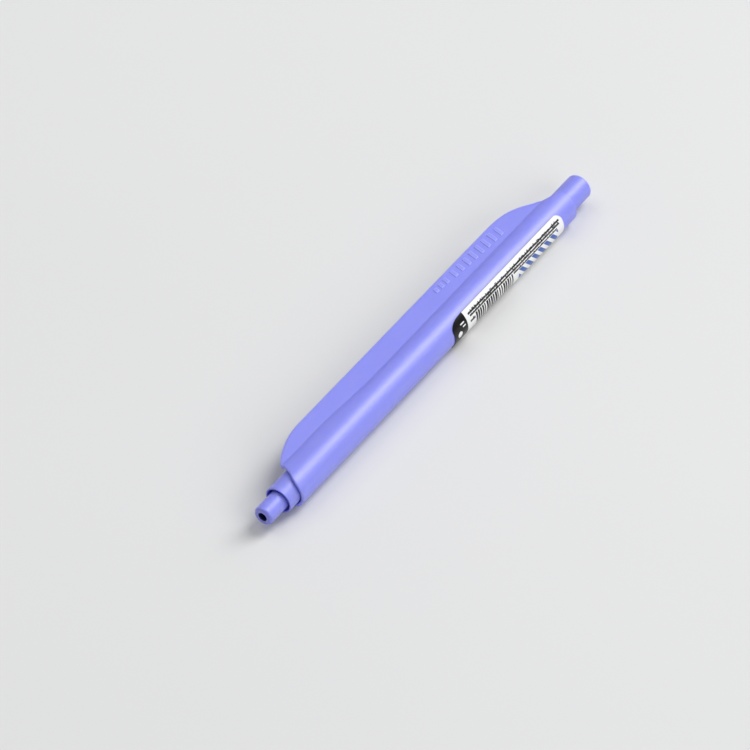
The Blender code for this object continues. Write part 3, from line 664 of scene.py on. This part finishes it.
def label_print():
    """White film with dark rows, fine bars and slanted blue bars.

    Places on it are in millimetres: u from its front end and v from its upper edge.
    """
    material = bpy.data.materials.new("printed_label")
    material.use_nodes = True
    tree = material.node_tree
    shader = tree.nodes["Principled BSDF"]
    place = tree.nodes.new("ShaderNodeUVMap")
    place.uv_map = "print_in_mm"
    split = tree.nodes.new("ShaderNodeSeparateXYZ")
    tree.links.new(place.outputs["UV"], split.inputs["Vector"])
    u, v = split.outputs["X"], split.outputs["Y"]
    length = label_length * MILLIMETRES
    width = label_width * MILLIMETRES

    def both(first, second):
        return calc(tree, "MULTIPLY", first, second)

    def either(first, *others):
        for other in others:
            first = calc(tree, "MAXIMUM", first, other)
        return first

    def patch(u_low, u_high, v_low, v_high, soft=0.08):
        return both(between(tree, u, u_low, u_high, soft), between(tree, v, v_low, v_high, soft))

    def ragged_row(u_low, u_high, v_low, v_high, pitch, fill, seed):
        """A dark line with short upright dashes of uneven height and width along its upper side."""
        cell = calc(tree, "MULTIPLY", u, 1 / pitch)
        luck = chance(tree, cell, v_low, seed)
        least_width, more_width = 0.52, 0.42
        dash_width = calc(tree, "MULTIPLY_ADD", chance(tree, cell, v_low, seed + 5), more_width, least_width)
        in_dash = calc(tree, "LESS_THAN", calc(tree, "FRACT", cell), dash_width)
        dash = both(in_dash, calc(tree, "LESS_THAN", luck, fill))
        height = v_high - v_low
        unevenness, top_sharpness = 0.6, 12.0
        dash_top = calc(tree, "MULTIPLY_ADD", luck, unevenness * height, v_low)
        past_top = calc(tree, "SUBTRACT", v, dash_top)
        below_top = calc(tree, "MULTIPLY_ADD", past_top, top_sharpness, 0.5, clamp=True)
        dash = both(dash, both(below_top, between(tree, v, 0.0, v_high, 0.06)))
        line_upper_side, line_darkness = 0.42, 0.92
        line = both(between(tree, v, v_low + line_upper_side * height, v_high, 0.05), line_darkness)
        return both(either(dash, line), between(tree, u, u_low, u_high, 0.08))

    bar_pitch = 0.98
    bar_cell = calc(tree, "MULTIPLY", u, 1 / bar_pitch)
    bar_thickness = calc(tree, "MULTIPLY_ADD", chance(tree, bar_cell, 9.0, 4), 0.45, 0.35)
    in_bar = calc(tree, "LESS_THAN", calc(tree, "FRACT", bar_cell), bar_thickness)
    bars = both(in_bar, patch(9.8, 27.0, 3.05, 9.4))
    dark = either(
        ragged_row(7.2, length - 1.2, 1.15, 2.06, pitch=0.40, fill=0.96, seed=1),
        ragged_row(7.6, length - 1.6, 1.98, 2.86, pitch=0.46, fill=0.94, seed=2),
        ragged_row(27.5, length - 3.0, 2.92, 3.62, pitch=0.50, fill=0.86, seed=3),
        ragged_row(7.2, 9.4, 3.3, 4.4, pitch=0.60, fill=0.80, seed=6),
        bars,
    )

    slant, slant_pitch = -0.90, 2.9
    slanted = calc(tree, "MULTIPLY", calc(tree, "MULTIPLY_ADD", v, slant, u), 1 / slant_pitch)
    stripe = between(tree, calc(tree, "FRACT", slanted), 0.12, 0.66, 0.05)
    blue = both(stripe, patch(29.5, 48.2, 3.75, 8.2))

    band_end = 5.9
    dot_u, dot_v, dot_radius = 2.4, 4.9, 0.922
    from_dot_u = calc(tree, "SUBTRACT", u, dot_u)
    from_dot_v = calc(tree, "SUBTRACT", v, dot_v)
    from_dot = calc(tree, "ADD", both(from_dot_u, from_dot_u), both(from_dot_v, from_dot_v))
    dot = calc(tree, "LESS_THAN", from_dot, dot_radius**2)
    left_white = either(dot, patch(3.3, 4.9, 2.2, 2.6, soft=0.06), patch(3.9, 5.1, 3.2, 3.6, soft=0.06))
    black = both(calc(tree, "LESS_THAN", u, band_end), calc(tree, "SUBTRACT", 1.0, left_white))

    # Painted shadow: a thin dark line along the film's upper and lower edges stands in for the shade at the
    # film's edge.
    edge_shadow_width, edge_shadow_darkness = 0.15, 0.75
    from_edge = calc(tree, "MINIMUM", v, calc(tree, "SUBTRACT", width, v))
    painted_edge_shadow = both(calc(tree, "LESS_THAN", from_edge, edge_shadow_width), edge_shadow_darkness)
    colour = blend_colours(tree, blue, (0.84, 0.84, 0.84), (0.05, 0.12, 0.42))
    colour = blend_colours(tree, dark, colour, (0.010, 0.009, 0.008))
    colour = blend_colours(tree, black, colour, (0.004, 0.004, 0.005))
    colour = blend_colours(tree, painted_edge_shadow, colour, (0.05, 0.05, 0.08))
    tree.links.new(colour, shader.inputs["Base Color"])
    shader.inputs["Specular IOR Level"].default_value = 0.3

    film_roughness = 0.30
    skin = tree.nodes.new("ShaderNodeGroup")
    skin.node_tree = mould_skin
    tree.links.new(tree.nodes.new("ShaderNodeTexCoord").outputs["Object"], skin.inputs["Position"])
    roughness = calc(tree, "ADD", skin.outputs["Gloss Shift"], film_roughness)
    tree.links.new(roughness, shader.inputs["Roughness"])
    bump = tree.nodes.new("ShaderNodeBump")
    bump.inputs["Strength"].default_value = 0.2
    bump.inputs["Distance"].default_value = 0.004 * mm
    tree.links.new(skin.outputs["Height"], bump.inputs["Height"])
    tree.links.new(bump.outputs["Normal"], shader.inputs["Normal"])
    return material


finish_piece(label, "label_film", "barrel", label_print())
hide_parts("label")

# ---------------------------------------------------------------- writing point and ball
# The point is turned from nickel silver wire: a long slim shank, a cone and a crimped lip that
# holds a tungsten carbide ball. It is pressed into the front of its plastic connector.
point_low, point_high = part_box("metal_point")


def turned_marks_group():
    """Fine rings that a lathe leaves round a turned or drawn metal piece."""
    group, put_in, put_out = node_group(
        "turned_marks",
        [("Position", "NodeSocketVector", (0, 0, 0)), ("Rings per mm", "NodeSocketFloat", 14.0)],
        [(output, "NodeSocketFloat") for output in ("Gloss Shift", "Height", "Tarnish")],
    )
    split = group.nodes.new("ShaderNodeSeparateXYZ")
    group.links.new(put_in.outputs["Position"], split.inputs["Vector"])
    along = calc(group, "MULTIPLY", split.outputs["X"], MILLIMETRES)
    rings = calc(group, "MULTIPLY", along, put_in.outputs["Rings per mm"])
    ring = calc(group, "SINE", calc(group, "MULTIPLY", rings, math.tau))
    cloud = noise(group, put_in.outputs["Position"], scale=900.0, detail=3.0)
    ring_gloss, cloud_gloss = 0.03, 0.12
    cloudy = calc(group, "MULTIPLY_ADD", cloud, cloud_gloss, -cloud_gloss / 2)
    rough = calc(group, "ADD", calc(group, "MULTIPLY", ring, ring_gloss), cloudy)
    group.links.new(rough, put_out.inputs["Gloss Shift"])
    group.links.new(ring, put_out.inputs["Height"])
    group.links.new(cloud, put_out.inputs["Tarnish"])
    return group


turned_marks = turned_marks_group()


def metal(name, colour, tarnished, roughness, mark_depth, rings):
    """A turned or drawn metal, with fine rings and a faint uneven tarnish."""
    material = bpy.data.materials.new(name)
    material.use_nodes = True
    tree = material.node_tree
    shader = tree.nodes["Principled BSDF"]
    shader.inputs["Metallic"].default_value = 1.0
    lathe = tree.nodes.new("ShaderNodeGroup")
    lathe.node_tree = turned_marks
    lathe.inputs["Rings per mm"].default_value = rings
    tree.links.new(tree.nodes.new("ShaderNodeTexCoord").outputs["Object"], lathe.inputs["Position"])
    base = blend_colours(tree, lathe.outputs["Tarnish"], colour, tarnished)
    tree.links.new(base, shader.inputs["Base Color"])
    tree.links.new(calc(tree, "ADD", lathe.outputs["Gloss Shift"], roughness), shader.inputs["Roughness"])
    bump = tree.nodes.new("ShaderNodeBump")
    bump.inputs["Strength"].default_value = 0.25
    bump.inputs["Distance"].default_value = mark_depth
    tree.links.new(lathe.outputs["Height"], bump.inputs["Height"])
    tree.links.new(bump.outputs["Normal"], shader.inputs["Normal"])
    return material


# Sizes along the point are in millimetres. The cone lies in front of the shank, and the rear end
# of the shank is a thinner spigot that the connector holds.
point_front = (point_low[0] - nose_x) * MILLIMETRES
point_back = (point_high[0] - nose_x) * MILLIMETRES
mouth_radius = 0.30
cone_end = point_front + 3.45
shank_radius = 1.0
spigot_radius = 0.8
spigot_front = 12.2
ink_bore = 0.45
outline = [at(point_front, mouth_radius), at(point_front, 0.34), at(point_front + 0.05, 0.37)]
outline += [at(point_front + 0.35, 0.42), at(point_front + 0.75, 0.50), at(point_front + 0.78, 0.58)]
outline += [at(point_front + 2.4, 0.84), at(cone_end, 0.98), at(cone_end + 0.1, shank_radius)]
outline += [at(9.0, shank_radius), at(spigot_front - 0.05, shank_radius), at(spigot_front, 0.95)]
outline += [at(spigot_front, spigot_radius), at(point_back - 0.1, spigot_radius), at(point_back, 0.7)]
outline += [at(point_back, ink_bore), at(point_front + 0.6, ink_bore), at(point_front + 0.45, 0.36)]
outline.append(outline[0])
point = turn_profile(outline, 64)
nickel_silver = metal(
    "nickel_silver", colour=(0.62, 0.60, 0.55), tarnished=(0.52, 0.50, 0.45),
    roughness=0.24, mark_depth=0.002 * mm, rings=12.0,
)
finish_piece(point, "point_turned", "refill", nickel_silver)
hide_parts("metal_point")
carbide = metal(
    "carbide", colour=(0.30, 0.30, 0.32), tarnished=(0.24, 0.24, 0.26),
    roughness=0.16, mark_depth=0.001 * mm, rings=30.0,
)
for material_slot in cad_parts["writing_ball"].material_slots:
    material_slot.material = carbide

# --------------------------------------------------------------------------- return spring
# A helical spring of fine round steel wire sits between the nose and the connector's flange.
# Its end coils lie flat, and it shortens as the button goes in.
spring_low, spring_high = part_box("return_spring")
wire_radius = 0.18 * mm
coil_radius = 1.85 * mm
wire_sides = 10
turns = 9
steps_a_turn = 36
deselect_everything()
bpy.ops.mesh.primitive_circle_add(
    vertices=wire_sides, radius=wire_radius, location=(0, coil_radius, 0),
    rotation=(0, math.pi / 2, math.pi / 2),
)
spring = bpy.context.object
bpy.ops.object.transform_apply(location=True, rotation=True, scale=True)
apply_modifier(
    spring, "coil", "SCREW", axis="X", angle=math.tau, screw_offset=1.0, iterations=turns,
    steps=steps_a_turn, render_steps=steps_a_turn, use_merge_vertices=False, use_smooth_shade=True,
)
spring_x = spring_low[0] + wire_radius, spring_high[0] - wire_radius
flat_turn = 2 * wire_radius
free_length = spring_x[1] - spring_x[0] - 2 * flat_turn
for vertex in spring.data.vertices:
    step, corner = divmod(vertex.index, wire_sides)
    turn = step / steps_a_turn
    flat = min(turn, 1.0) + max(turn - (turns - 1), 0.0)
    free = min(max(turn - 1, 0.0), turns - 2) / (turns - 2)
    round_wire = math.tau * corner / wire_sides
    x = spring_x[0] + flat * flat_turn + free_length * free + wire_radius * math.sin(round_wire)
    radius = coil_radius + wire_radius * math.cos(round_wire)
    angle = math.tau * turn
    vertex.co = (x, axis_y + radius * math.cos(angle), axis_z + radius * math.sin(angle))
bpy.ops.object.mode_set(mode="EDIT")
bpy.ops.mesh.select_all(action="DESELECT")
bpy.ops.mesh.select_mode(type="EDGE")
bpy.ops.mesh.select_non_manifold()
bpy.ops.mesh.edge_face_add()
bpy.ops.mesh.select_all(action="SELECT")
bpy.ops.mesh.normals_make_consistent(inside=False)
bpy.ops.object.mode_set(mode="OBJECT")
spring_steel = metal(
    "spring_steel", colour=(0.50, 0.51, 0.53), tarnished=(0.38, 0.38, 0.40),
    roughness=0.30, mark_depth=0.001 * mm, rings=4.0,
)
finish_piece(spring, "spring_coil", "barrel", spring_steel)
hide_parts("return_spring")
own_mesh(spring)

# --------------------------------------------------------------------- refill and cams
# The refill is a clear tube of violet gel ink with a plug of clear grease behind it. The cams
# and the guide that latch the button are unpigmented plastic. They all sit inside the barrel.


def clear_plastic(name, colour, roughness, passes, rubs):
    """An uncoloured plastic, grease or ink; passes is the share of light that goes through."""
    cloud_shade = 0.94
    cloud_colour = tuple(channel * cloud_shade for channel in colour)
    material = moulded_plastic(name, colour, cloud_colour, roughness, 0.004 * mm, rubs)
    shader = material.node_tree.nodes["Principled BSDF"]
    shader.inputs["Transmission Weight"].default_value = passes
    return material


inside_materials = {
    "cam_guide": clear_plastic("natural_plastic", (0.80, 0.80, 0.77), roughness=0.38, passes=0.0, rubs=0.2),
    "refill_tube": clear_plastic("tube_plastic", (0.86, 0.87, 0.88), roughness=0.18, passes=0.75, rubs=0.1),
    "ink_column": clear_plastic("violet_ink", (0.16, 0.09, 0.55), roughness=0.12, passes=0.0, rubs=0.0),
    "ink_follower": clear_plastic("clear_grease", (0.83, 0.82, 0.74), roughness=0.10, passes=0.6, rubs=0.0),
}
for node in ("knock_cam", "rotor_cam", "refill_plug", "tip_connector"):
    inside_materials[node] = inside_materials["cam_guide"]
for node, material in inside_materials.items():
    cad_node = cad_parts[node]
    for material_slot in cad_node.material_slots:
        material_slot.material = material

# ------------------------------------------------------------------- table, light, camera
# The pen lies on a plain pale table top. A large soft light stands high past its button end, a
# smaller one is almost overhead, and two weak ones fill the sides of a bright even room.
deselect_everything()
bpy.ops.mesh.primitive_plane_add(size=6.0, location=(0, 0, 0))
table_top = bpy.context.object
table_top.name = "table_top"
paper_white = bpy.data.materials.new("table_white")
paper_white.use_nodes = True
tree = paper_white.node_tree
shader = tree.nodes["Principled BSDF"]
place = tree.nodes.new("ShaderNodeTexCoord").outputs["Object"]
darker, paler = (0.675, 0.675, 0.675), (0.705, 0.705, 0.705)
table_tone = blend_colours(tree, noise(tree, place, scale=6.0, detail=2.0), darker, paler)
tree.links.new(table_tone, shader.inputs["Base Color"])
shader.inputs["Roughness"].default_value = 0.85
shader.inputs["Specular IOR Level"].default_value = 0.2
table_top.data.materials.append(paper_white)


def soft_light(name, where, length, width, watts):
    """A soft light panel that faces the pen."""
    light = bpy.data.lights.new(name, "AREA")
    light.shape = "RECTANGLE"
    light.size = length
    light.size_y = width
    light.energy = watts
    lamp = bpy.data.objects.new(name, light)
    lamp.location = where
    lamp.rotation_euler = Vector(where).to_track_quat("Z", "Y").to_euler()
    bpy.context.scene.collection.objects.link(lamp)
    return lamp


soft_light("overhead_softbox", (-0.10, 0.65, 1.25), length=1.0, width=1.0, watts=4.6)
soft_light("end_softbox", (1.60, -0.70, 2.16), length=1.1, width=2.4, watts=64.0)
soft_light("side_fill", (-0.10, -1.30, 0.75), length=1.0, width=0.8, watts=6.0)
soft_light("back_fill", (1.60, -0.30, 0.45), length=1.0, width=0.6, watts=3.0)
world = bpy.data.worlds.new("bright_room")
world.use_nodes = True
background = world.node_tree.nodes["Background"]
background.inputs["Color"].default_value = (0.95, 0.97, 1.0, 1.0)
background.inputs["Strength"].default_value = 0.25
bpy.context.scene.world = world
bpy.context.scene.view_settings.view_transform = "Standard"
bpy.context.scene.view_settings.look = "None"

# The camera looks down at the pen from in front and to one side, from far off with a long lens.
camera_distance = 1268.06 * mm
camera_azimuth = math.radians(-55.522)
camera_height = math.radians(46.949)
camera_roll = math.radians(0.674)
aim = Vector((nose_x + 56.35 * mm, axis_y + 4.955 * mm, axis_z))
turn_left = Euler((0, 0, camera_azimuth)).to_matrix()
look_down = Euler((math.pi / 2 - camera_height, 0, 0)).to_matrix()
facing = turn_left @ look_down @ Euler((0, 0, camera_roll)).to_matrix()
lens = bpy.data.cameras.new("camera")
lens.lens = 236.35
lens.sensor_width = 36.0
lens.clip_start = 0.05
lens.clip_end = 20.0
camera = bpy.data.objects.new("camera", lens)
camera.matrix_world = facing.to_4x4()
camera.location = aim + facing @ Vector((0, 0, camera_distance))
bpy.context.scene.collection.objects.link(camera)
bpy.context.scene.camera = camera
